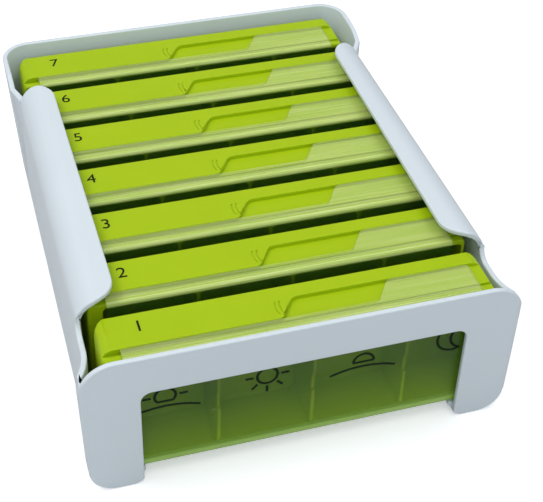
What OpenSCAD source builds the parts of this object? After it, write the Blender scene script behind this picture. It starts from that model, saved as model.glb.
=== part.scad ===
// Weekly pill organiser: a white moulded rack that holds seven day boxes, one behind the other.
// A day box is a tray with four compartments, open at the front, and a clear cover that slides over them.
// The origin is on the table, under the middle of the rack's outline. +Z is up and the front faces -Y.

/* [Day box] */
// Length of a day box, end to end
box_l = 122.4; // [112:0.2:136]
// Depth of a day box, front to back
box_d = 18.8; // [17:0.1:22]
// Height of a day box
box_h = 48; // [42:0.5:56]
// Thickness of the tray's back wall and right end wall
tray_t = 1.4; // [1.1:0.1:2]
// Thickness of the tray's top and bottom walls
roof_t = 3; // [2.8:0.1:3.6]
// Thickness of the tray's left end wall, the end that a thumb holds
grip_end_t = 4.8; // [3:0.1:7]
// How much narrower the last compartment is than the other three
last_less = 3.4; // [0:0.1:8]
// Thickness of the three dividers
divider_t = 1.2; // [1:0.1:1.8]
// Radius of the tray's two upright back edges
back_edge_r = 5; // [3:0.1:6]
// Radius of the tray's long ends, where the top and bottom meet the end walls
end_edge_r = 4; // [1.5:0.1:5]
// Radius of the corners inside a compartment
cell_r = 1.5; // [0.8:0.1:3]

/* [Sliding cover] */
// Thickness of the sliding cover
cover_t = 1.2; // [1:0.05:1.4]
// Distance from the left end of the tray to the cover
cover_inset = 5.8; // [5:0.1:6.6]
// Distance from the right end of the cover to the right end of the tray
cover_short = 5.1; // [4.6:0.1:8]
// Radius of the cover's long front edges
cover_edge_r = 2; // [1.5:0.1:2.4]
// Depth of the step that the cover's long edges lie in
ledge_d = 5; // [4.4:0.1:6]
// Depth of the wide part of that step, where the thumb tab lies
tab_d = 13.2; // [10:0.1:14.5]
// Distance from the right end of the cover to the middle of the tab's curved edge
tab_l = 29.5; // [20:0.1:34]
// Radius of the two bends in the curved edge
bend_r = 3; // [1.5:0.1:3.6]
// Steepness of the curved edge
bend_a = 58; // [45:1:75]
// Width of the hook along the cover's long edges
hook_w = 0.8; // [0.6:0.1:1]
// Height of that hook
hook_h = 0.6; // [0.4:0.05:0.7]
// Height of the click rib inside the cover
click_h = 6.3; // [4:0.1:9]
// Radius of the click rib
click_r = 0.7; // [0.5:0.05:0.9]
// Height of the click rib's middle above the bottom of the box
click_z = 21.2; // [17:0.1:27]
// Gap between the cover and the tray
slide_gap = 0.2; // [0.15:0.05:0.25]

/* [Rack] */
// Thickness of the rack's walls
rack_t = 1.8; // [1.5:0.1:2.4]
// Gap between two neighbouring day boxes
box_gap = 5.2; // [4:0.1:7]
// Gap between the first or last day box and the rack
bay_gap = 0.6; // [0.3:0.1:1.2]
// Gap between the end of a day box and the side wall, halfway along the rack
end_gap = 1.8; // [1.5:0.1:3]
// Angle by which each side wall leans in towards the back
taper_a = 0.9; // [0:0.1:0.9]
// Height at which the day boxes stand above the table
stand_h = 4.4; // [4:0.1:7]
// How far the ledge reaches in under the end of a day box
ledge_reach = 10.8; // [7:0.1:15]
// Radius of the rack's lower outer edge
foot_r = 9; // [7:0.1:9.5]
// Height of the cross ribs that keep the day boxes apart
rib_h = 1.2; // [0.8:0.1:1.6]
// Width of those ribs
rib_w = 2.4; // [1.4:0.1:3]

/* [Curled rails] */
// Space between the top of a day box and the rail above it
head_gap = 3.4; // [2.8:0.1:5]
// How far the rail reaches in over the end of a day box
rail_lap = 8.8; // [6:0.1:14]
// Outer radius of the curl
curl_r = 9; // [7:0.1:11]
// Radius of the rail's rounded ends
rail_end_r = 8.6; // [5:0.1:10]
// How far in front of the back bay the rails end
rail_short = 4; // [1:0.1:6]

/* [Front panel] */
// How far the panel's top stands above the day boxes
crest_h = 1.5; // [0:0.1:3]
// How far the panel stands out past the side walls
panel_flare = 4.9; // [3:0.1:6]
// Angle at which the side walls swing out to the panel
flare_a = 35; // [26:1:42]
// Radius of the panel's upper corners
panel_r = 11; // [6:0.1:14]
// Radius of the upright edges of the panel
panel_edge_r = 3; // [2.7:0.1:3.6]
// Width of the two legs
leg_w = 18.3; // [12:0.1:24]
// How much narrower the panel is at its foot, on each side
leg_lean = 1.4; // [0:0.1:3]
// Height of the bar above the window
bar_h = 14.4; // [8:0.1:20]
// Radius of the window's upper corners
window_r = 3.5; // [1:0.1:6]
// Depth of the finger scoop in the side walls, below the top of the day boxes
scoop_h = 5.4; // [2:0.1:9]
// Radius of the scoop's end, where it meets the rail
scoop_r = 5; // [3:0.1:6.5]

/* [Back rim] */
// How far the back rim stands above the day boxes
rim_h = 3.6; // [1:0.1:5]
// How far the walls of the back bay lean outwards at the rim
rim_lean = 3; // [1:0.1:4.5]
// Angle at which the side walls swing out to the rim, behind the rails
rim_swing_a = 34; // [20:1:50]
// Length over which the rim climbs to its height, behind the rails
rim_climb_l = 13; // [6:0.5:18]
// Height of that climb
rim_climb_h = 5; // [2:0.1:6]

/* [Hidden] */
days = 7;
cells = 4;
eps = 0.01;
arc_step = 6;
$fn = 64;

pitch = box_d + box_gap;
cell_w = (box_l - grip_end_t - tray_t - (cells - 1) * divider_t + last_less) / cells;
last_w = cell_w - last_less;
cell_pitch = cell_w + divider_t;
cell_d = box_d - tray_t;
face_y = cover_t + slide_gap;              // front of the tray, just behind the cover
step_h = cover_t + slide_gap;              // depth of the step under the cover's long edges
cover_x0 = -box_l / 2 + cover_inset;
cover_x1 = box_l / 2 - cover_short;
tab_x = cover_x1 - tab_l;                  // middle of the tab's curved edge
step_x = tab_x - cell_pitch;               // middle of the same curve in the tray
click_x = -box_l / 2 + grip_end_t + cell_w - slide_gap - click_r;
notch_d = click_r + slide_gap;

wall_x = box_l / 2 + end_gap + rack_t;     // outer face of a side wall at the middle of the rack
rail_in = box_l / 2 - rail_lap;            // inner edge of a rail
ledge_in = box_l / 2 - ledge_reach;        // inner edge of a ledge
front_y = -(days * box_d + (days - 1) * box_gap) / 2 - bay_gap - rack_t;
back_y = -front_y;
first_y = front_y + rack_t + bay_gap;      // front of the first day box
rail_y = 5 * pitch / 2;                    // the rails start at the five middle bays
tail_y = rail_y - rail_short;              // and end a little in front of the back bay
box_top = stand_h + box_h;
rail_z = box_top + head_gap + rack_t;
crest_z = box_top + crest_h;
rim_z = box_top + rim_h;
scoop_z = box_top - scoop_h;
window_z = crest_z - bar_h;

corner = [wall_x + panel_flare - panel_edge_r, front_y + panel_edge_r];    // front corner, from above
corner_end = corner + panel_edge_r * [cos(flare_a), sin(flare_a)];
flare_k = sin(flare_a) / (1 - cos(flare_a));
flare_y = (corner_end.y + flare_k * (corner_end.x - side_x(0, 0))) / (1 - flare_k * tan(taper_a));
flare_r = (corner_end.x - side_x(flare_y, 0)) / (1 - cos(flare_a));
back_r = back_edge_r + bay_gap + rack_t;
back_x = side_x(back_y - back_r, 0);       // outer face of the back bay's sides, where they are upright
rim_slope = rim_lean / (rim_z - foot_r);
climb_r = (rim_climb_l ^ 2 + rim_climb_h ^ 2) / (2 * rim_climb_h);
panel_x = wall_x + panel_flare;
panel_flat = 0.4;                          // width that the panel's outline takes off its upright edges
sole_x = side_x(back_y, 0) - foot_r - 0.4;         // inner edge of the soles that touch the table
window_x = panel_x - leg_w;

// ---- helpers ----

// Points of an arc from angle a0 to a1
function arc(c, r, a0, a1) = let (n = max(1, ceil(abs(a1 - a0) / arc_step)))
    [for (i = [0:n]) c + r * [cos(a0 + (a1 - a0) * i / n), sin(a0 + (a1 - a0) * i / n)]];

function mirrored(pts) = [for (i = [len(pts) - 1:-1:0]) [-pts[i].x, pts[i].y]];

// Outer face of the right side wall, drawn in by inset. It leans in towards the back
function side_x(y, inset) = (wall_x - inset) / cos(taper_a) - y * tan(taper_a);

// The curved edge between the narrow and the wide step: two bends and a straight slope,
// from the narrow step at y0 to the wide one at y1, with its middle at x
function curved_edge(x, y0, y1) =
    let (rise = y1 - y0,
         r = min(bend_r, rise / 2 / (1 - cos(bend_a)) - eps),
         slope = (rise - 2 * r * (1 - cos(bend_a))) / sin(bend_a),
         run = 2 * r * sin(bend_a) + slope * cos(bend_a))
    concat(
        arc([x - run / 2, y0 + r], r, -90, -90 + bend_a),
        arc([x + run / 2, y1 - r], r, 90 + bend_a, 90));

// Rectangle from x0 to x1 and y0 to y1, with corner radii r0 along its lower side and r1 along its upper
module rounded_rect(x0, x1, y0, y1, r0, r1) {
    translate([x0 + r0, y0]) square([x1 - x0 - 2 * r0, r0 + eps]);
    translate([x0, y0 + r0]) square([x1 - x0, y1 - y0 - r0 - r1]);
    translate([x0 + r1, y1 - r1 - eps]) square([x1 - x0 - 2 * r1, r1 + eps]);
    for (x = [x0 + r0, x1 - r0]) translate([x, y0 + r0]) circle(r0);
    for (x = [x0 + r1, x1 - r1]) translate([x, y1 - r1]) circle(r1);
}

// Extrude a profile drawn in X and Z along Y
module along_y(y0, y1) {
    translate([0, y1, 0]) rotate([90, 0, 0]) linear_extrude(y1 - y0) children();
}

// Extrude a profile drawn in Y and Z along X
module along_x(x0, x1) {
    translate([x0, 0, 0]) rotate([90, 0, 90]) linear_extrude(x1 - x0) children();
}

// Put the origin under the middle of the outline, to which the leaning back wall adds
module centred() {
    translate([0, -rim_lean / 2, 0]) children();
}

// Stand a day box in its bay. Its own frame has the cover's face at y = 0 and its bottom at z = 0
module in_bay(day) {
    centred() translate([0, first_y + (day - 1) * pitch, stand_h]) children();
}

// ---- day box ----

// Outer body of the tray, with every long edge rounded
module tray_body() {
    intersection() {
        linear_extrude(box_h)
            rounded_rect(-box_l / 2, box_l / 2, face_y, box_d, 1.2, back_edge_r);
        along_y(0, box_d)
            rounded_rect(-box_l / 2, box_l / 2, 0, box_h, end_edge_r, end_edge_r);
        along_x(-box_l / 2, box_l / 2)
            rounded_side(box_d, box_h, 0.9);
    }
}

// Side view of the tray: square at the front, rounded at the back
module rounded_side(d, h, r) {
    square([d - r, h]);
    translate([d - r - eps, r]) square([r + eps, h - 2 * r]);
    for (z = [r, h - r]) translate([d - r, z]) circle(r);
}

// The step in the top of the tray: narrow at the left, wide to the right of the curved edge
module wide_step_2d() {
    polygon(concat(
        [[-box_l / 2 - 1, -1], [-box_l / 2 - 1, ledge_d]],
        curved_edge(step_x, ledge_d, tab_d),
        [[box_l / 2 + 1, tab_d], [box_l / 2 + 1, -1]]));
}

// Groove that the cover's hook runs in
module hook_groove(z0) {
    groove_w = hook_w + 2 * slide_gap;
    translate([-box_l / 2 - 1, ledge_d - groove_w, z0])
        cube([box_l + 2, groove_w, hook_h + slide_gap + eps]);
}

// What comes off the tray's two long front edges, so that they clear the bends of the cover
module front_rounding_2d() {
    r = cover_edge_r - step_h;
    for (side = [0, 1])
        translate([cover_edge_r, box_h / 2]) mirror([0, side]) translate([0, box_h / 2 - cover_edge_r])
            difference() {
                translate([-r - 1, 0]) square(r + 1);
                circle(r);
            }
}

// Two curved finger marks beside the curved edge
module finger_marks() {
    for (i = [1, 2])
        translate([step_x - 1.2 - 1.4 * i, (ledge_d + tab_d) / 2 + 0.4, box_h - 0.3])
            linear_extrude(1)
                intersection() {
                    difference() {
                        translate([7, 0]) circle(7);
                        translate([7, 0]) circle(6.5);
                    }
                    translate([-1, -2.8]) square([2, 5.6]);
                }
}

module tray() {
    difference() {
        tray_body();
        for (i = [0:cells - 1])
            translate([-box_l / 2 + grip_end_t + i * cell_pitch, 0, 0])
                along_y(-1, cell_d)
                    rounded_rect(0, i < cells - 1 ? cell_w : last_w, roof_t, box_h - roof_t, cell_r, cell_r);
        // notches that let the click rib past the dividers
        for (i = [1:cells - 1])
            translate([-box_l / 2 + grip_end_t + i * cell_pitch - divider_t - eps, 0,
                       click_z - click_h / 2 - slide_gap])
                cube([divider_t + 2 * eps, face_y + notch_d, click_h + 2 * slide_gap]);
        // steps and grooves for the cover's long edges
        translate([0, 0, box_h - step_h]) linear_extrude(step_h + 1) wide_step_2d();
        translate([0, 0, box_h - step_h - hook_h - slide_gap]) hook_groove(0);
        translate([-box_l / 2 - 1, -1, -1]) cube([box_l + 2, ledge_d + 1, step_h + 1]);
        hook_groove(step_h - eps);
        along_x(-box_l / 2 - 1, box_l / 2 + 1) front_rounding_2d();
        finger_marks();
    }
}

// Side view of the cover: a front wall that turns back over the top and under the bottom
module cover_side() {
    z0 = slide_gap / 2;
    z1 = box_h;
    reach = ledge_d - slide_gap;
    difference() {
        union() {
            translate([cover_edge_r, z0]) square([reach - cover_edge_r, z1 - z0]);
            translate([0, z0 + cover_edge_r]) square([cover_edge_r + eps, z1 - z0 - 2 * cover_edge_r]);
            for (z = [z0 + cover_edge_r, z1 - cover_edge_r])
                translate([cover_edge_r, z]) circle(cover_edge_r);
        }
        inner_r = cover_edge_r - cover_t;
        translate([cover_t + inner_r, z0 + cover_t]) square([reach, z1 - z0 - 2 * cover_t]);
        translate([cover_t, z0 + cover_edge_r]) square([inner_r + eps, z1 - z0 - 2 * cover_edge_r]);
        for (z = [z0 + cover_edge_r, z1 - cover_edge_r])
            translate([cover_edge_r, z]) circle(inner_r);
    }
    for (z = [z0 + cover_t - eps, z1 - cover_t - hook_h])
        translate([reach - hook_w, z]) square([hook_w, hook_h + eps]);
}

// The thumb tab, seen from above
module tab_2d() {
    edge = curved_edge(tab_x, ledge_d - slide_gap, tab_d - slide_gap);
    difference() {
        polygon(concat(
            [[edge[0].x, ledge_d / 2]],
            edge,
            [[cover_x1, tab_d - slide_gap], [cover_x1, ledge_d / 2]]));
        translate([cover_x1 - 1.5, tab_d - slide_gap - 1.5])
            difference() {
                square(2);
                circle(1.5);
            }
    }
}

module cover() {
    along_x(cover_x0, cover_x1) cover_side();
    translate([0, 0, box_h - cover_t]) linear_extrude(cover_t) tab_2d();
    // click rib, which snaps past the dividers as the cover slides
    translate([click_x, cover_t, click_z - click_h / 2])
        intersection() {
            cylinder(h = click_h, r = click_r);
            translate([-click_r, -cover_t / 2, 0]) cube([2 * click_r, click_r + cover_t / 2, click_h]);
        }
}

module day_tray(day) {
    color([0.66, 0.78, 0.11]) in_bay(day) tray();
}

module day_cover(day) {
    color([0.84, 0.92, 0.86, 0.45]) in_bay(day) cover();
}

// ---- rack ----

// Front bay seen from above, drawn in by inset: the side walls swing out to the panel
module front_bay_2d(inset) {
    c = [side_x(flare_y, 0) + flare_r, flare_y];
    swing = arc(c, flare_r + inset, 180 + flare_a, 180 + arc_step / 2);
    half = concat(
        [[0, front_y + inset], [corner.x, front_y + inset]],
        swing,
        [[side_x(-rail_y, inset), -rail_y], [0, -rail_y]]);
    polygon(concat(half, mirrored(half)));
    for (side = [-1, 1]) translate([side * corner.x, corner.y]) circle(panel_edge_r - inset);
}

// Back bay seen from above
module back_bay_2d() {
    c = [side_x(back_y - back_r, 0) - back_r, back_y - back_r];
    half = [[0, tail_y], [side_x(tail_y, 0), tail_y], [c.x + back_r, c.y], [c.x, back_y], [0, back_y]];
    polygon(concat(half, mirrored(half)));
    for (side = [-1, 1]) translate([side * c.x, c.y]) circle(back_r);
}

// Right half of the rack seen from the front, drawn in by inset: rounded at the foot and at the curl
module wall_half_2d(inset, z1) {
    x0 = -6;
    x1 = wall_x - inset;
    r0 = foot_r - inset;
    r1 = curl_r - inset;
    translate([x0, inset]) square([x1 - r0 - x0, r0]);
    translate([x0, inset + r0]) square([x1 - x0, z1 - 2 * inset - r0 - r1]);
    translate([x0, z1 - inset - r1 - eps]) square([x1 - r1 - x0, r1 + eps]);
    translate([x1 - r0, inset + r0]) circle(r0);
    translate([x1 - r1, z1 - inset - r1]) circle(r1);
}

// Both halves, each turned by the taper of its side wall
module tapered(y0, y1) {
    for (side = [0, 1])
        mirror([side, 0, 0]) rotate([0, 0, taper_a]) along_y(y0, y1) children();
}

// The panel's outline seen from the front. Its legs lean in towards the feet
module panel_2d() {
    c0 = [panel_x - leg_lean - foot_r, foot_r];
    c1 = [panel_x - panel_flat - panel_r, crest_z - panel_r];
    for (side = [0, 1])
        mirror([side, 0]) {
            polygon([[-1, c0.y], [c0.x + foot_r, c0.y], [c1.x + panel_r, c1.y], [-1, c1.y]]);
            translate([-1, 0]) square([c0.x + 1, foot_r]);
            translate([-1, c1.y]) square([c1.x + 1, panel_r]);
            translate(c0) circle(foot_r);
            translate(c1) circle(panel_r);
        }
}

// The same for the room inside the front bay, which is open at the top
module front_room_2d() {
    x1 = panel_x - leg_lean - rack_t;
    r = foot_r - rack_t;
    for (side = [0, 1])
        mirror([side, 0]) {
            translate([-1, rack_t]) square([x1 - r + 1, r]);
            translate([x1 - r, foot_r]) circle(r);
            polygon([[-1, foot_r], [x1, foot_r], [panel_x, rail_z + 1], [-1, rail_z + 1]]);
        }
}

// A block with rounded back corners. Its sides and back lean outwards by slope as it rises
module leaning_block(x1, y0, y1, r, z0, z1, slope) {
    c = [x1 - r, y1 - r];
    spread = slope * (z1 - z0);
    for (side = [0, 1])
        mirror([side, 0, 0]) {
            along_y(y0, c.y) polygon([[-1, z0], [x1, z0], [x1 + spread, z1], [-1, z1]]);
            translate([c.x, c.y, z0]) cylinder(h = z1 - z0, r1 = r, r2 = r + spread);
        }
    along_x(-c.x, c.x) polygon([[y0, z0], [y1, z0], [y1 + spread, z1], [y0, z1]]);
}

// Keeps the lower edge of the back bay rounded like the rest
module back_foot_2d() {
    translate([-6, 0]) square([wall_x - foot_r + 6, foot_r]);
    translate([wall_x - foot_r, foot_r]) circle(foot_r);
    translate([-6, foot_r]) square([panel_x + 6, rail_z]);
}

// Leaning walls of the back bay from above, drawn in by inset: they swing out behind the rails
module rim_swing_2d(inset) {
    x0 = side_x(tail_y, 0) - inset / cos(rim_swing_a);
    x1 = wall_x + rim_lean + 1;
    half = [[0, tail_y], [x0, tail_y], [x1, tail_y + (x1 - x0) / tan(rim_swing_a)],
            [x1, back_y + rim_lean + 1], [0, back_y + rim_lean + 1]];
    polygon(concat(half, mirrored(half)));
}

// Side view of what the rim leaves off behind the rails, so that it climbs from them to its height
module rim_climb_2d() {
    difference() {
        translate([tail_y, rim_z - climb_r]) square([rim_climb_l, climb_r + 1]);
        translate([tail_y + rim_climb_l, rim_z - climb_r]) circle(climb_r, $fn = 180);
    }
}

module rack_outside() {
    // front bay, as high as the panel
    intersection() {
        linear_extrude(crest_z) front_bay_2d(0);
        along_y(front_y - 1, -rail_y) panel_2d();
    }
    // middle bays, with the curl
    intersection() {
        tapered(-rail_y * 1.2, rail_y * 1.2) wall_half_2d(0, rail_z);
        translate([-panel_x, -rail_y, 0]) cube([2 * panel_x, rail_y + tail_y, rail_z]);
    }
    // back bay: upright walls, and leaning ones round them
    intersection() {
        linear_extrude(box_h / 2) back_bay_2d();
        tapered(tail_y - 2, back_y * 1.2) back_foot_2d();
    }
    difference() {
        intersection() {
            leaning_block(back_x, tail_y, back_y, back_r, foot_r, rim_z, rim_slope);
            translate([0, 0, foot_r]) linear_extrude(rim_z) rim_swing_2d(0);
        }
        along_x(-panel_x - 1, panel_x + 1) rim_climb_2d();
    }
}

module rack_inside() {
    x1 = back_x - rack_t;
    r = back_r - rack_t;
    intersection() {
        translate([0, 0, stand_h]) linear_extrude(rail_z) front_bay_2d(rack_t);
        along_y(front_y, -rail_y) front_room_2d();
    }
    intersection() {
        tapered(-rail_y * 1.2, rail_y * 1.2) wall_half_2d(rack_t, rail_z);
        translate([-panel_x, -rail_y, stand_h]) cube([2 * panel_x, rail_y + tail_y, rail_z]);
    }
    // the back bay holds its box closely
    intersection() {
        leaning_block(x1, tail_y, back_y - rack_t, r, foot_r, rim_z + 1, rim_slope);
        translate([0, 0, stand_h]) linear_extrude(rim_z) rim_swing_2d(rack_t);
    }
    leaning_block(x1, tail_y, back_y - rack_t, r, stand_h, foot_r + eps, 0);
}

// Opening in the top, seen from above: narrow between the rails, wide at the front and back bays
module top_opening_2d() {
    r = rail_end_r;
    difference() {
        for (y = [-rail_y - 2, tail_y - r])
            translate([-rail_in - r * 0.8, y]) square([2 * rail_in + r * 1.6, r + 2]);
        for (x = [-rail_in - r, rail_in + r], y = [r - rail_y, tail_y - r]) translate([x, y]) circle(r);
    }
    translate([-rail_in, -rail_y + r]) square([2 * rail_in, rail_y + tail_y - 2 * r]);
}

// Side view of the finger scoop in the front bay
module scoop_2d() {
    y0 = front_y + rack_t;
    y1 = -rail_y;
    r = scoop_r;
    translate([y0, scoop_z]) square([y1 - y0 - r, rail_z + 1 - scoop_z]);
    translate([y0, scoop_z + r]) square([y1 - y0, rail_z + 1 - scoop_z - r]);
    translate([y1 - r, scoop_z + r]) circle(r);
}

module window_2d() {
    rounded_rect(-window_x, window_x, -window_r, window_z, eps, window_r);
}

// Open middle of the floor, and the hollow under each ledge
module floor_opening() {
    tip_z = stand_h - rack_t * 0.75;
    mid_x = ledge_in + (sole_x - ledge_in) * 0.45;
    translate([-ledge_in, front_y - 1, -1])
        cube([2 * ledge_in, back_y - rack_t - front_y + 1, stand_h + rib_h + 2]);
    for (side = [0, 1])
        mirror([side, 0, 0])
            along_y(front_y - 1, back_y + rim_lean + 1)
                polygon([[0, -1], [0, tip_z], [ledge_in, tip_z], [mid_x, tip_z * 0.35],
                         [sole_x, 0], [sole_x, -1]]);
}

// Low ribs across the ledges, between the day boxes
module cross_ribs() {
    for (i = [1:days - 1], side = [0, 1])
        mirror([side, 0, 0])
            translate([ledge_in, first_y + i * pitch - box_gap / 2 - rib_w / 2, stand_h - eps])
                cube([box_l / 2 + 1 - ledge_in, rib_w, rib_h + eps]);
}

module rack() {
    color([0.93, 0.95, 0.97])
        centred() difference() {
            union() {
                difference() {
                    rack_outside();
                    rack_inside();
                }
                cross_ribs();
            }
            translate([0, 0, box_top + head_gap * 0.6]) linear_extrude(rail_z) top_opening_2d();
            along_x(-panel_x - 1, panel_x + 1) scoop_2d();
            along_y(front_y - 1, front_y + rack_t + bay_gap) window_2d();
            floor_opening();
        }
}

rack();
day_tray(1);  // day1_tray
day_cover(1);  // day1_cover
day_tray(2);  // day2_tray
day_cover(2);  // day2_cover
day_tray(3);  // day3_tray
day_cover(3);  // day3_cover
day_tray(4);  // day4_tray
day_cover(4);  // day4_cover
day_tray(5);  // day5_tray
day_cover(5);  // day5_cover
day_tray(6);  // day6_tray
day_cover(6);  // day6_cover
day_tray(7);  // day7_tray
day_cover(7);  // day7_cover
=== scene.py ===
"""Looks of a weekly pill organiser: a white moulded rack with seven lime day boxes, each with a
clear sliding cover. Sizes are in metres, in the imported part's frame: +Z up, the front faces -Y."""

import math

import bmesh
import bpy
from mathutils import Matrix, Vector
from mathutils.bvhtree import BVHTree


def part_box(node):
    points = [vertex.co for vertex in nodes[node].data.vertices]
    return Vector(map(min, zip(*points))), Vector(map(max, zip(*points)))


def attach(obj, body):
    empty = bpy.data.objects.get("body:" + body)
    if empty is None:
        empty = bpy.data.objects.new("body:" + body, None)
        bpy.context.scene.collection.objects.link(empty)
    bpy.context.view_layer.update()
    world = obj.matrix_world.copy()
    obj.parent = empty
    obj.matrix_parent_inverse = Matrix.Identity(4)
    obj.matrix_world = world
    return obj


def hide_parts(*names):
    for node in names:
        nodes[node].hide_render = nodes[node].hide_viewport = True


MM = 0.001
DAYS = range(1, 8)

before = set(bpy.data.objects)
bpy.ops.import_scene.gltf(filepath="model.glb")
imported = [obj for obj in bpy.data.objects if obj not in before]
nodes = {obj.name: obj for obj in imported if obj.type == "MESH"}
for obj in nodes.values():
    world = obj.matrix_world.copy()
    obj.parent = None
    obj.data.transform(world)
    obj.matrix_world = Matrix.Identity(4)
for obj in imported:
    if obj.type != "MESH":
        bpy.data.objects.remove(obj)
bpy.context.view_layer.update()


# ---- small helpers ----


def linear(hex_colour):
    """An sRGB hex colour as the linear values that Blender's sockets take."""
    channels = [int(hex_colour[i : i + 2], 16) / 255 for i in (1, 3, 5)]
    return [c / 12.92 if c <= 0.04045 else ((c + 0.055) / 1.055) ** 2.4 for c in channels] + [1.0]


def add(tree, kind, inputs=None, stops=(), **settings):
    """Adds a node. inputs maps a socket's name or number to a value or to another node's socket.
    stops are a colour ramp's, each a position and an sRGB hex colour."""
    node = tree.nodes.new(kind)
    for name, value in settings.items():
        setattr(node, name, value)
    for key, value in (inputs or {}).items():
        if isinstance(value, bpy.types.NodeSocket):
            tree.links.new(value, node.inputs[key])
        else:
            node.inputs[key].default_value = value
    if stops:
        points = node.color_ramp.elements
        points[0].position, points[1].position = stops[0][0], stops[-1][0]
        points[0].color, points[1].color = linear(stops[0][1]), linear(stops[-1][1])
        for position, colour in stops[1:-1]:
            points.new(position).color = linear(colour)
    return node


def new_material(name):
    """A material with an empty node tree, and that tree."""
    material = bpy.data.materials.new(name)
    material.use_nodes = True
    material.node_tree.nodes.clear()
    return material, material.node_tree


def finish_material(tree, shader):
    add(tree, "ShaderNodeOutputMaterial", {"Surface": shader.outputs[0]})


def place_mesh(name, mesh, place, material, body):
    """Puts a finished mesh in its place and lets it ride on a body."""
    mesh.transform(place)
    mesh.materials.clear()
    mesh.materials.append(material)
    piece = bpy.data.objects.new(name, mesh)
    bpy.context.scene.collection.objects.link(piece)
    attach(piece, body)
    return piece


# ---- materials ----

# A Mix node has a set of sockets for each kind of data under the same names, so they go by number
SHARE, A, B, TINT_A, TINT_B, TINT_OUT = 0, 2, 3, 6, 7, 2

# How much of the clear cover is veil rather than see-through, by where on it. The veil is what
# shows the painted light and shade: it rises up the front to show more painted shade near the
# top, it shows painted highlights on the bends and roof, and a painted lit green at the foot
FRONT_VEIL_LOW, FRONT_VEIL_HIGH = 0.18, 0.3
BEND_VEIL, ROOF_VEIL, FOOT_VEIL = 0.45, 0.3, 0.7
GLOSS_VEIL, GLOSS_POWER = 0.9, 3.0  # seen along its surface it hides what is behind it
# Those places, by height and by how level the surface lies, from 0 upright to 1 flat
SHADE_LOW, SHADE_HIGH = 10 * MM, 38 * MM
FOOT_TOP, FOOT_FULL = 9 * MM, 7.5 * MM
BEND_FROM, BEND_FULL = 0.1, 0.35
ROOF_FROM, ROOF_FULL = 0.9, 0.99

PAPER_LIFT = 0.35  # plain white that the camera adds to the floor
SOFT_LIGHT = 0.5  # strength of the world on the object


def moulded_white():
    # White ABS from a polished mould: bright and slightly blue, with a soft broad gloss. Its flow
    # varies over 55 mm. Its grain, 0.7 mm, is coarser than a real one, to show.
    material, tree = new_material("abs_moulded_white")
    where = add(tree, "ShaderNodeTexCoord").outputs["Object"]
    flow = add(tree, "ShaderNodeTexNoise", {"Vector": where, "Scale": 18.0, "Detail": 2.0})
    tint = add(
        tree,
        "ShaderNodeMix",
        {SHARE: flow.outputs["Fac"], TINT_A: linear("#D3DCE0"), TINT_B: linear("#DAE2E6")},
        data_type="RGBA",
    )
    grain = add(tree, "ShaderNodeTexNoise", {"Vector": where, "Scale": 1400.0, "Detail": 1.0})
    bump = add(
        tree,
        "ShaderNodeBump",
        {"Height": grain.outputs["Fac"], "Strength": 0.06, "Distance": 0.1 * MM},
    )
    shader = add(
        tree,
        "ShaderNodeBsdfPrincipled",
        {
            "Base Color": tint.outputs[TINT_OUT],
            "Roughness": 0.4,
            "IOR": 1.53,
            "Specular IOR Level": 0.4,
            "Normal": bump.outputs[0],
        },
    )
    finish_material(tree, shader)
    return material


def moulded_lime():
    # Lime polypropylene, moulded: a strong even colour that light enters a little, with a satin
    # surface. Its flow varies over 17 mm. Its grain, 0.6 mm, is coarser than a real one, to show.
    material, tree = new_material("polypropylene_lime")
    where = add(tree, "ShaderNodeTexCoord").outputs["Object"]
    flow = add(tree, "ShaderNodeTexNoise", {"Vector": where, "Scale": 60.0, "Detail": 3.0})
    tint = add(
        tree,
        "ShaderNodeMix",
        {SHARE: flow.outputs["Fac"], TINT_A: linear("#A5C008"), TINT_B: linear("#ABC60C")},
        data_type="RGBA",
    )
    grain = add(tree, "ShaderNodeTexNoise", {"Vector": where, "Scale": 1600.0, "Detail": 1.0})
    bump = add(
        tree,
        "ShaderNodeBump",
        {"Height": grain.outputs["Fac"], "Strength": 0.08, "Distance": 0.1 * MM},
    )
    shader = add(
        tree,
        "ShaderNodeBsdfPrincipled",
        {
            "Base Color": tint.outputs[TINT_OUT],
            "Roughness": 0.45,
            "IOR": 1.49,
            "Specular IOR Level": 0.2,
            "Subsurface Weight": 0.4,
            "Subsurface Radius": (1.0, 1.0, 0.15),
            "Subsurface Scale": 1.5 * MM,
            "Normal": bump.outputs[0],
        },
    )
    finish_material(tree, shader)
    return material


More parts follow.
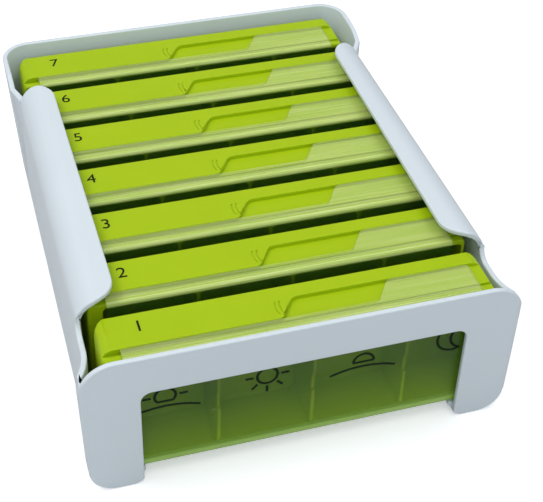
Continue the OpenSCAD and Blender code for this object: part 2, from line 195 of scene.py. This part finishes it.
def clear_cover():
    # Clear polystyrene, injection moulded. Its colour is painted light and shade: the upright front
    # is painted darker green towards the top, as painted shade of the compartments under the roof,
    # the roof has a faint pale veil in the same painted highlight colours as the bends, the bends
    # have painted highlights in streaks along their length, 0.4 mm wide and 40 mm long, and the
    # lower bend is painted the bright lit green of the tray's foot behind it
    material, tree = new_material("polystyrene_clear")
    where = add(tree, "ShaderNodeTexCoord").outputs["Object"]
    height = add(tree, "ShaderNodeSeparateXYZ", {0: where}).outputs["Z"]
    surface = add(tree, "ShaderNodeNewGeometry").outputs["Normal"]
    rise = add(tree, "ShaderNodeSeparateXYZ", {0: surface}).outputs["Z"]
    level = add(tree, "ShaderNodeMath", {0: rise}, operation="ABSOLUTE").outputs[0]
    front = add(
        tree,
        "ShaderNodeMapRange",
        {
            "Value": height,
            "From Min": SHADE_LOW,
            "From Max": SHADE_HIGH,
            "To Min": FRONT_VEIL_LOW,
            "To Max": FRONT_VEIL_HIGH,
        },
    ).outputs[0]
    bend, roof, foot, over_foot = (
        add(
            tree,
            "ShaderNodeMapRange",
            {"Value": value, "From Min": start, "From Max": full},
        ).outputs[0]
        for value, start, full in (
            (level, BEND_FROM, BEND_FULL),
            (level, ROOF_FROM, ROOF_FULL),
            (height, FOOT_TOP, FOOT_FULL),
            (height, FOOT_FULL, SHADE_HIGH),
        )
    )
    turned = add(tree, "ShaderNodeLayerWeight", {"Blend": 0.5}).outputs["Facing"]
    gloss = add(tree, "ShaderNodeMath", {0: turned, 1: GLOSS_POWER}, operation="POWER").outputs[0]
    veil = front
    for share, amount in (
        (bend, BEND_VEIL),
        (roof, ROOF_VEIL),
        (foot, FOOT_VEIL),
        (gloss, GLOSS_VEIL),
    ):
        veil = add(tree, "ShaderNodeMix", {SHARE: share, A: veil, B: amount}).outputs[0]
    # Painted highlights: noise stretched along the bends sets where their pale streaks are
    # brightest; the roof shows the same pale painted colours
    along = add(tree, "ShaderNodeMapping", {"Vector": where, "Scale": (25.0, 2600.0, 2600.0)})
    flow = add(
        tree,
        "ShaderNodeTexNoise",
        {"Vector": along.outputs[0], "Scale": 1.0, "Detail": 3.0},
    )
    streaks = add(
        tree,
        "ShaderNodeValToRGB",
        {"Fac": flow.outputs["Fac"]},
        stops=((0.4, "#CBE46C"), (0.62, "#F4FEA6")),
    )
    # Painted light and shade up the front: a bright lit green at the foot that darkens towards the
    # top, where the compartments behind lie in the shade of the roof
    body = add(
        tree,
        "ShaderNodeValToRGB",
        {"Fac": over_foot},
        stops=((0.0, "#A4D04A"), (0.12, "#7FAA38"), (0.7, "#2F5E20")),
    )
    # Where the painted highlight colour shows rather than the front's painted shade
    streaked = add(tree, "ShaderNodeMath", {0: bend, 1: foot}, operation="SUBTRACT", use_clamp=True)
    colour = add(
        tree,
        "ShaderNodeMix",
        {SHARE: streaked.outputs[0], TINT_A: body.outputs[0], TINT_B: streaks.outputs[0]},
        data_type="RGBA",
    )
    haze = add(tree, "ShaderNodeTexNoise", {"Vector": where, "Scale": 30.0, "Detail": 2.0})
    rough = add(
        tree,
        "ShaderNodeMapRange",
        {"Value": haze.outputs["Fac"], "To Min": 0.04, "To Max": 0.09},
    )
    shader = add(
        tree,
        "ShaderNodeBsdfPrincipled",
        {
            "Base Color": colour.outputs[TINT_OUT],
            "Roughness": rough.outputs[0],
            "IOR": 1.59,
            "Alpha": veil,
        },
    )
    finish_material(tree, shader)
    return material


def dark_ink():
    # Pad-printed ink: nearly black green, dead flat and matt, with a mottle of 1.1 mm
    material, tree = new_material("pad_print_ink")
    where = add(tree, "ShaderNodeTexCoord").outputs["Object"]
    mottle = add(tree, "ShaderNodeTexNoise", {"Vector": where, "Scale": 900.0, "Detail": 2.0})
    tint = add(
        tree,
        "ShaderNodeMix",
        {SHARE: mottle.outputs["Fac"], TINT_A: linear("#0C1A06"), TINT_B: linear("#13240B")},
        data_type="RGBA",
    )
    shader = add(
        tree,
        "ShaderNodeBsdfPrincipled",
        {"Base Color": tint.outputs[TINT_OUT], "Roughness": 0.7, "Specular IOR Level": 0.15},
    )
    finish_material(tree, shader)
    return material


def studio_floor():
    # Matt white paper: the shadow on it is kept, and elsewhere the camera sees it as plain white.
    # Its mottle, 3 mm, is coarser than real fibres.
    material, tree = new_material("paper_white")
    where = add(tree, "ShaderNodeTexCoord").outputs["Object"]
    fibre = add(tree, "ShaderNodeTexNoise", {"Vector": where, "Scale": 300.0, "Detail": 2.0})
    seen = add(tree, "ShaderNodeLightPath").outputs["Is Camera Ray"]
    bounced = add(
        tree,
        "ShaderNodeMix",
        {SHARE: fibre.outputs["Fac"], TINT_A: linear("#CCCCCA"), TINT_B: linear("#D2D2D0")},
        data_type="RGBA",
    )
    tint = add(
        tree,
        "ShaderNodeMix",
        {SHARE: seen, TINT_A: bounced.outputs[TINT_OUT], TINT_B: linear("#FFFFFF")},
        data_type="RGBA",
    )
    paper = add(tree, "ShaderNodeBsdfDiffuse", {"Color": tint.outputs[TINT_OUT]})
    glow = add(tree, "ShaderNodeMath", {0: seen, 1: PAPER_LIFT}, operation="MULTIPLY")
    lift = add(
        tree,
        "ShaderNodeEmission",
        {"Color": linear("#FFFFFF"), "Strength": glow.outputs[0]},
    )
    shader = add(tree, "ShaderNodeAddShader", {0: paper.outputs[0], 1: lift.outputs[0]})
    finish_material(tree, shader)
    return material


white = moulded_white()
lime = moulded_lime()
clear = clear_cover()
ink = dark_ink()


# ---- moulded pieces ----

# Radius of the rounded edges that a mould leaves
RACK_EDGE, TRAY_EDGE, COVER_EDGE = 0.5 * MM, 0.25 * MM, 0.15 * MM
EDGE_STEPS = 3
ROUND_FROM, ROUND_TO = 50, 135  # an edge that turns between these many degrees is rounded
SHADE_DEG = 38  # an edge that turns less than this is shaded smooth
FLAT_DEG = 0.3  # triangles that turn less than this are one flat face
ROOM = 1.5  # a face beside a rounded edge is at least this many radii wide
STRAY = 0.4  # a point that strays from the surface by more than this share of the radius goes back
SAME_POINT = 0.001 * MM


def mesh_of(holder):
    """The evaluated mesh of a helper object, which is then removed."""
    depsgraph = bpy.context.evaluated_depsgraph_get()
    mesh = bpy.data.meshes.new_from_object(holder.evaluated_get(depsgraph))
    bpy.data.objects.remove(holder)
    return mesh


def helper_object(name, data):
    holder = bpy.data.objects.new(name, data)
    bpy.context.scene.collection.objects.link(holder)
    return holder


def across(along, line):
    """How far a line reaches at right angles to a direction."""
    return (line - along * line.dot(along)).length


def has_room(edge, radius, sharp):
    """Whether both faces beside an edge, and the seams that end at it, leave its rounding room."""
    start = edge.verts[0].co
    along = (edge.verts[1].co - start).normalized()
    for loop in edge.link_loops:
        if max(across(along, vert.co - start) for vert in loop.face.verts) < ROOM * radius:
            return False
        for seam in (loop.link_loop_prev.edge, loop.link_loop_next.edge):
            if seam not in sharp and across(along, seam.verts[1].co - seam.verts[0].co) < radius:
                return False
    return True


def soft_edged(node, radius, material, body):
    """A copy of a moulded piece with its sharp outer edges rounded, which stands for the piece."""
    shape = bmesh.new()
    shape.from_mesh(nodes[node].data)
    bmesh.ops.remove_doubles(shape, verts=shape.verts, dist=SAME_POINT)
    skin = BVHTree.FromBMesh(shape)
    bmesh.ops.dissolve_limit(
        shape, angle_limit=math.radians(FLAT_DEG), verts=shape.verts, edges=shape.edges
    )
    sharp = {
        edge
        for edge in shape.edges
        if edge.is_manifold and ROUND_FROM < math.degrees(edge.calc_face_angle_signed()) < ROUND_TO
    }
    rounded = [edge for edge in shape.edges if edge in sharp and has_room(edge, radius, sharp)]
    bmesh.ops.bevel(
        shape,
        geom=rounded,
        offset=radius,
        offset_type="OFFSET",
        affect="EDGES",
        segments=EDGE_STEPS,
        profile=0.5,
        clamp_overlap=False,
    )
    for vert in shape.verts:
        near, _, _, distance = skin.find_nearest(vert.co)
        if distance > STRAY * radius:
            vert.co = near
    for edge in shape.edges:
        edge.smooth = edge.is_manifold and edge.calc_face_angle() < math.radians(SHADE_DEG)
    mesh = bpy.data.meshes.new(node)
    shape.to_mesh(mesh)
    shape.free()
    mesh.polygons.foreach_set("use_smooth", [True] * len(mesh.polygons))
    holder = helper_object(node, mesh)
    holder.modifiers.new("even_faces", "WEIGHTED_NORMAL").keep_sharp = True
    mesh = mesh_of(holder)
    piece = place_mesh(f"{node}_moulded", mesh, Matrix(), material, body)
    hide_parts(node)


soft_edged("rack", RACK_EDGE, white, "rack")
for day in DAYS:
    soft_edged(f"day{day}_tray", TRAY_EDGE, lime, f"day{day}_box")
    soft_edged(f"day{day}_cover", COVER_EDGE, clear, f"day{day}_lid")


# ---- printed marks ----

INK_T = 0.05 * MM
INK_SINK = 0.1 * INK_T  # how far the back of a mark goes into what it is printed on
DIGIT_H = 4.6 * MM
DIGIT_SHARE = 0.7  # a digit's height as a share of its type size
DIGIT_X = 11.4 * MM  # from the tray's left end
DIGIT_Y = 8.2 * MM  # from the tray's back edge to the digit's foot
DIGIT_Z = 0.6 * INK_T  # from the tray's top to the middle of the ink

LINE_W = 0.85 * MM
SUN_R = 3.2 * MM
RAY_GAP, RAY_L = 1.1 * MM, 2.6 * MM
# Middle of each pictogram from the middle of the rack, and the height of the sun and of the horizon
MORNING_X, NOON_X, EVENING_X, NIGHT_X = -43.7 * MM, -12.2 * MM, 18.6 * MM, 48.0 * MM
SUN_Z, EVENING_Z, HORIZON_Z = 34.5 * MM, 32.2 * MM, 30.3 * MM
HORIZON_R, HORIZON_SWEEP = 30 * MM, 21
RISING_FROM, RISING_TO = -42, 222  # the part of the morning sun's circle that is drawn
SETTING_R = SUN_R * 1.05
# The moon: an outer arc, and an inner one that is smaller and lies further right
MOON_Z = SUN_Z + 0.4 * MM
MOON_R, MOON_FROM, MOON_TO = 5.2 * MM, 62, 298
HOLLOW_R, HOLLOW_FROM, HOLLOW_TO = 4.8 * MM, 253, 107
HOLLOW_X = NIGHT_X + 4.0 * MM
STEP_DEG = 7.5  # an arc is drawn in steps of about this


def digit(day):
    """The number on top of a tray, where the day's name would be."""
    text = bpy.data.curves.new(f"digit_{day}", "FONT")
    text.body = str(day)
    text.size = DIGIT_H / DIGIT_SHARE
    text.extrude = INK_T / 2
    mesh = mesh_of(helper_object(f"digit_{day}", text))
    low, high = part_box(f"day{day}_tray")
    place = Matrix.Translation((low.x + DIGIT_X, high.y - DIGIT_Y, high.z + DIGIT_Z))
    place_mesh(f"day{day}_digit", mesh, place, ink, f"day{day}_box")


def arc_path(centre, radius, start, end):
    """Points of an arc in the plane, from angle start to end in degrees."""
    steps = max(2, round(abs(end - start) / STEP_DEG))
    angles = [math.radians(start + (end - start) * i / steps) for i in range(steps + 1)]
    return [Vector(centre) + radius * Vector((math.cos(a), math.sin(a))) for a in angles]


def ink_line(shape, path, closed=False):
    """Adds a closed flat band of ink along a path in the plane."""
    count = len(path)
    rings = []
    for i, point in enumerate(path):
        before = path[i - 1] if closed or i > 0 else point
        after = path[(i + 1) % count] if closed or i < count - 1 else point
        along = (after - before).normalized()
        side = Vector((-along.y, along.x)) * LINE_W / 2
        left, right = point + side, point - side
        corners = ((left, 0), (right, 0), (right, INK_T), (left, INK_T))
        rings.append([shape.verts.new((q.x, q.y, z)) for q, z in corners])
    pairs = list(zip(rings, rings[1:])) + ([(rings[-1], rings[0])] if closed else [])
    for a, b in pairs:
        for k in range(4):
            n = (k + 1) % 4
            shape.faces.new((a[k], a[n], b[n], b[k]))
    if not closed:
        shape.faces.new(reversed(rings[0]))
        shape.faces.new(rings[-1])


def ray_tree():
    """Rays round a sun: one small bar on each point of an arc, turned to point outwards."""
    tree = bpy.data.node_groups.new("sun_rays", "GeometryNodeTree")
    sockets = (
        ("Count", "NodeSocketInt", 8),
        ("Radius", "NodeSocketFloat", SUN_R),
        ("Start", "NodeSocketFloat", 0.0),
        ("Sweep", "NodeSocketFloat", math.tau),
        ("Ray Length", "NodeSocketFloat", RAY_L),
        ("Ray Width", "NodeSocketFloat", LINE_W),
        ("Ink Thickness", "NodeSocketFloat", INK_T),
    )
    for name, kind, value in sockets:
        tree.interface.new_socket(name, in_out="INPUT", socket_type=kind).default_value = value
    tree.interface.new_socket("Geometry", in_out="OUTPUT", socket_type="NodeSocketGeometry")
    size = add(tree, "NodeGroupInput").outputs
    arc = add(
        tree,
        "GeometryNodeCurveArc",
        {
            "Resolution": size["Count"],
            "Radius": size["Radius"],
            "Start Angle": size["Start"],
            "Sweep Angle": size["Sweep"],
        },
    )
    bar_size = add(
        tree,
        "ShaderNodeCombineXYZ",
        {"X": size["Ray Length"], "Y": size["Ray Width"], "Z": size["Ink Thickness"]},
    )
    bar = add(tree, "GeometryNodeMeshCube", {"Size": bar_size.outputs[0]})
    position = add(tree, "GeometryNodeInputPosition").outputs[0]
    outwards = add(tree, "FunctionNodeAlignEulerToVector", {"Vector": position})
    rays = add(
        tree,
        "GeometryNodeInstanceOnPoints",
        {
            "Points": arc.outputs["Curve"],
            "Instance": bar.outputs["Mesh"],
            "Rotation": outwards.outputs[0],
        },
    )
    real = add(tree, "GeometryNodeRealizeInstances", {"Geometry": rays.outputs[0]})
    inked = add(tree, "GeometryNodeSetMaterial", {"Geometry": real.outputs[0], "Material": ink})
    add(tree, "NodeGroupOutput", {"Geometry": inked.outputs[0]})
    return tree


def rays(tree, centre, count, start, sweep):
    """The mesh of one sun's rays, with its middle at centre in the plane."""
    holder = helper_object("rays", bpy.data.meshes.new("rays"))
    modifier = holder.modifiers.new("rays", "NODES")
    modifier.node_group = tree
    values = {
        "Count": count,
        "Radius": SUN_R + RAY_GAP + RAY_L / 2,
        "Start": math.radians(start),
        "Sweep": math.radians(sweep),
    }
    for item in tree.interface.items_tree:
        if item.item_type == "SOCKET" and item.in_out == "INPUT" and item.name in values:
            modifier[item.identifier] = values[item.name]
    mesh = mesh_of(holder)
    mesh.transform(Matrix.Translation((centre[0], centre[1], INK_T / 2)))
    return mesh


def horizon(shape, x):
    """The curved skyline under a rising or setting sun."""
    middle = (x, HORIZON_Z - HORIZON_R)
    ink_line(shape, arc_path(middle, HORIZON_R, 90 + HORIZON_SWEEP, 90 - HORIZON_SWEEP))


def pictograms(tree):
    """The four times of day, drawn flat with X right and Y up: sunrise, noon, sunset and moon."""
    shape = bmesh.new()
    full_sun = 360 - STEP_DEG
    horizon(shape, MORNING_X)
    ink_line(shape, arc_path((MORNING_X, SUN_Z), SUN_R, RISING_FROM, RISING_TO), closed=True)
    ink_line(shape, arc_path((NOON_X, SUN_Z), SUN_R, 0, full_sun), closed=True)
    horizon(shape, EVENING_X)
    ink_line(shape, arc_path((EVENING_X, EVENING_Z), SETTING_R, 0, 180), closed=True)
    outer = arc_path((NIGHT_X, MOON_Z), MOON_R, MOON_FROM, MOON_TO)
    hollow = arc_path((HOLLOW_X, MOON_Z), HOLLOW_R, HOLLOW_FROM, HOLLOW_TO)
    ink_line(shape, outer + hollow, closed=True)
    for mesh in (
        rays(tree, (MORNING_X, SUN_Z), count=5, start=0, sweep=180),
        rays(tree, (NOON_X, SUN_Z), count=8, start=0, sweep=315),
    ):
        shape.from_mesh(mesh)
    bmesh.ops.recalc_face_normals(shape, faces=shape.faces)
    marks = bpy.data.meshes.new("pictograms")
    shape.to_mesh(marks)
    shape.free()
    return marks


marks = pictograms(ray_tree())
stand_up = Matrix.Rotation(math.radians(90), 4, "X")
for day in DAYS:
    digit(day)
    face_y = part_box(f"day{day}_cover")[0].y
    place = Matrix.Translation((0, face_y - INK_SINK, 0)) @ stand_up
    place_mesh(f"day{day}_pictograms", marks.copy(), place, ink, f"day{day}_lid")


# ---- closed corners ----

# The square back corner of a tray's last compartment just breaks through the tray's round outer
# corner, along a hairline. A hollow round of lime in that corner closes it.
TRAY_WALL, TRAY_ROOF, TRAY_CORNER_R = 1.4 * MM, 3 * MM, 5 * MM
FILL_R = 1.8 * MM
FILL_SINK = 0.3 * MM  # how far the fill reaches into the walls
FILL_INSET = 0.07 * MM  # how far it stays behind the tray's outer skin


def corner_fill(day):
    """The fill of one tray: a column with a hollow face inside and a round one behind the skin."""
    low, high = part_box(f"day{day}_tray")
    outer = Vector((high.x, high.y))
    inner = outer - Vector((TRAY_WALL, TRAY_WALL))
    skin_r = TRAY_CORNER_R - FILL_INSET
    start = math.degrees(math.acos((TRAY_CORNER_R - TRAY_WALL + FILL_SINK) / skin_r))
    skin = arc_path(outer - Vector((TRAY_CORNER_R, TRAY_CORNER_R)), skin_r, start, 90 - start)
    hollow = arc_path(inner - Vector((FILL_R, FILL_R)), FILL_R, 90, 0)
    wall_foot = inner + Vector((FILL_SINK, -FILL_R))
    back_foot = inner + Vector((-FILL_R, FILL_SINK))
    ring = [wall_foot, *skin, back_foot, *hollow]
    heights = low.z + TRAY_ROOF - FILL_SINK, high.z - TRAY_ROOF + FILL_SINK
    shape = bmesh.new()
    bottom, top = ([shape.verts.new((p.x, p.y, z)) for p in ring] for z in heights)
    shape.faces.new(reversed(bottom))
    shape.faces.new(top)
    for i in range(len(ring)):
        shape.faces.new((bottom[i - 1], bottom[i], top[i], top[i - 1]))
    mesh = bpy.data.meshes.new(f"day{day}_corner_fill")
    shape.to_mesh(mesh)
    shape.free()
    place_mesh(f"day{day}_corner_fill", mesh, Matrix(), lime, f"day{day}_box")


for day in DAYS:
    corner_fill(day)


# ---- stage, light and camera ----

PHOTO_W = 543
FOCAL_PX = 1318
SENSOR_W = 36
CAMERA_AT = Vector((-98.05, -342.9, 322.5)) * MM
CAMERA_AZIMUTH, CAMERA_ELEVATION, CAMERA_ROLL = (math.radians(a) for a in (-18.23, 41.05, 2.15))
LAMP_AIM = Vector((0, 0, 0.03))
FLOOR_HALF = 3


def add_camera():
    data = bpy.data.cameras.new("camera")
    data.sensor_width = SENSOR_W
    data.sensor_fit = "HORIZONTAL"
    data.lens = FOCAL_PX / PHOTO_W * SENSOR_W
    data.clip_start, data.clip_end = 0.01, 20
    camera = bpy.data.objects.new("camera", data)
    a, e, r = CAMERA_AZIMUTH, CAMERA_ELEVATION, CAMERA_ROLL
    forward = Vector((-math.sin(a) * math.cos(e), math.cos(a) * math.cos(e), -math.sin(e)))
    level_right = forward.cross((0, 0, 1)).normalized()
    level_up = level_right.cross(forward)
    right = level_right * math.cos(r) + level_up * math.sin(r)
    up = level_up * math.cos(r) - level_right * math.sin(r)
    turn = Matrix((right, up, -forward)).transposed()
    camera.matrix_world = Matrix.Translation(CAMERA_AT) @ turn.to_4x4()
    bpy.context.scene.collection.objects.link(camera)
    bpy.context.scene.camera = camera


def add_lamp(name, place, size, power, colour="#FFFFFF"):
    data = bpy.data.lights.new(name, "AREA")
    data.shape = "RECTANGLE"
    data.size, data.size_y = size
    data.energy = power
    data.color = linear(colour)[:3]
    lamp = bpy.data.objects.new(name, data)
    lamp.location = place
    lamp.rotation_euler = (LAMP_AIM - Vector(place)).to_track_quat("-Z", "Y").to_euler()
    bpy.context.scene.collection.objects.link(lamp)


def add_floor():
    mesh = bpy.data.meshes.new("floor")
    shape = bmesh.new()
    bmesh.ops.create_grid(shape, x_segments=1, y_segments=1, size=FLOOR_HALF)
    shape.to_mesh(mesh)
    shape.free()
    mesh.materials.append(studio_floor())
    floor = bpy.data.objects.new("floor", mesh)
    bpy.context.scene.collection.objects.link(floor)


def add_world():
    """Soft even light on the object, and plain white where the camera sees past the floor."""
    world = bpy.data.worlds.new("studio")
    world.use_nodes = True
    tree = world.node_tree
    tree.nodes.clear()
    seen = add(tree, "ShaderNodeLightPath")
    soft = add(tree, "ShaderNodeBackground", {"Color": linear("#F4F8FF"), "Strength": SOFT_LIGHT})
    paper = add(tree, "ShaderNodeBackground", {"Color": linear("#FFFFFF"), "Strength": 1.0})
    mix = add(
        tree,
        "ShaderNodeMixShader",
        {0: seen.outputs["Is Camera Ray"], 1: soft.outputs[0], 2: paper.outputs[0]},
    )
    add(tree, "ShaderNodeOutputWorld", {"Surface": mix.outputs[0]})
    bpy.context.scene.world = world


add_camera()
add_floor()
add_world()
add_lamp("softbox_left", (-0.42, 0.12, 0.85), (0.5, 0.5), 3.3)
add_lamp("softbox_strip", (0.24, -0.2, 0.95), (0.9, 0.16), 1.9)
add_lamp("softbox_front", (-0.1, -0.9, 0.7), (1.0, 0.6), 2.5, "#EAF3FF")
bpy.context.scene.view_settings.view_transform = "Standard"
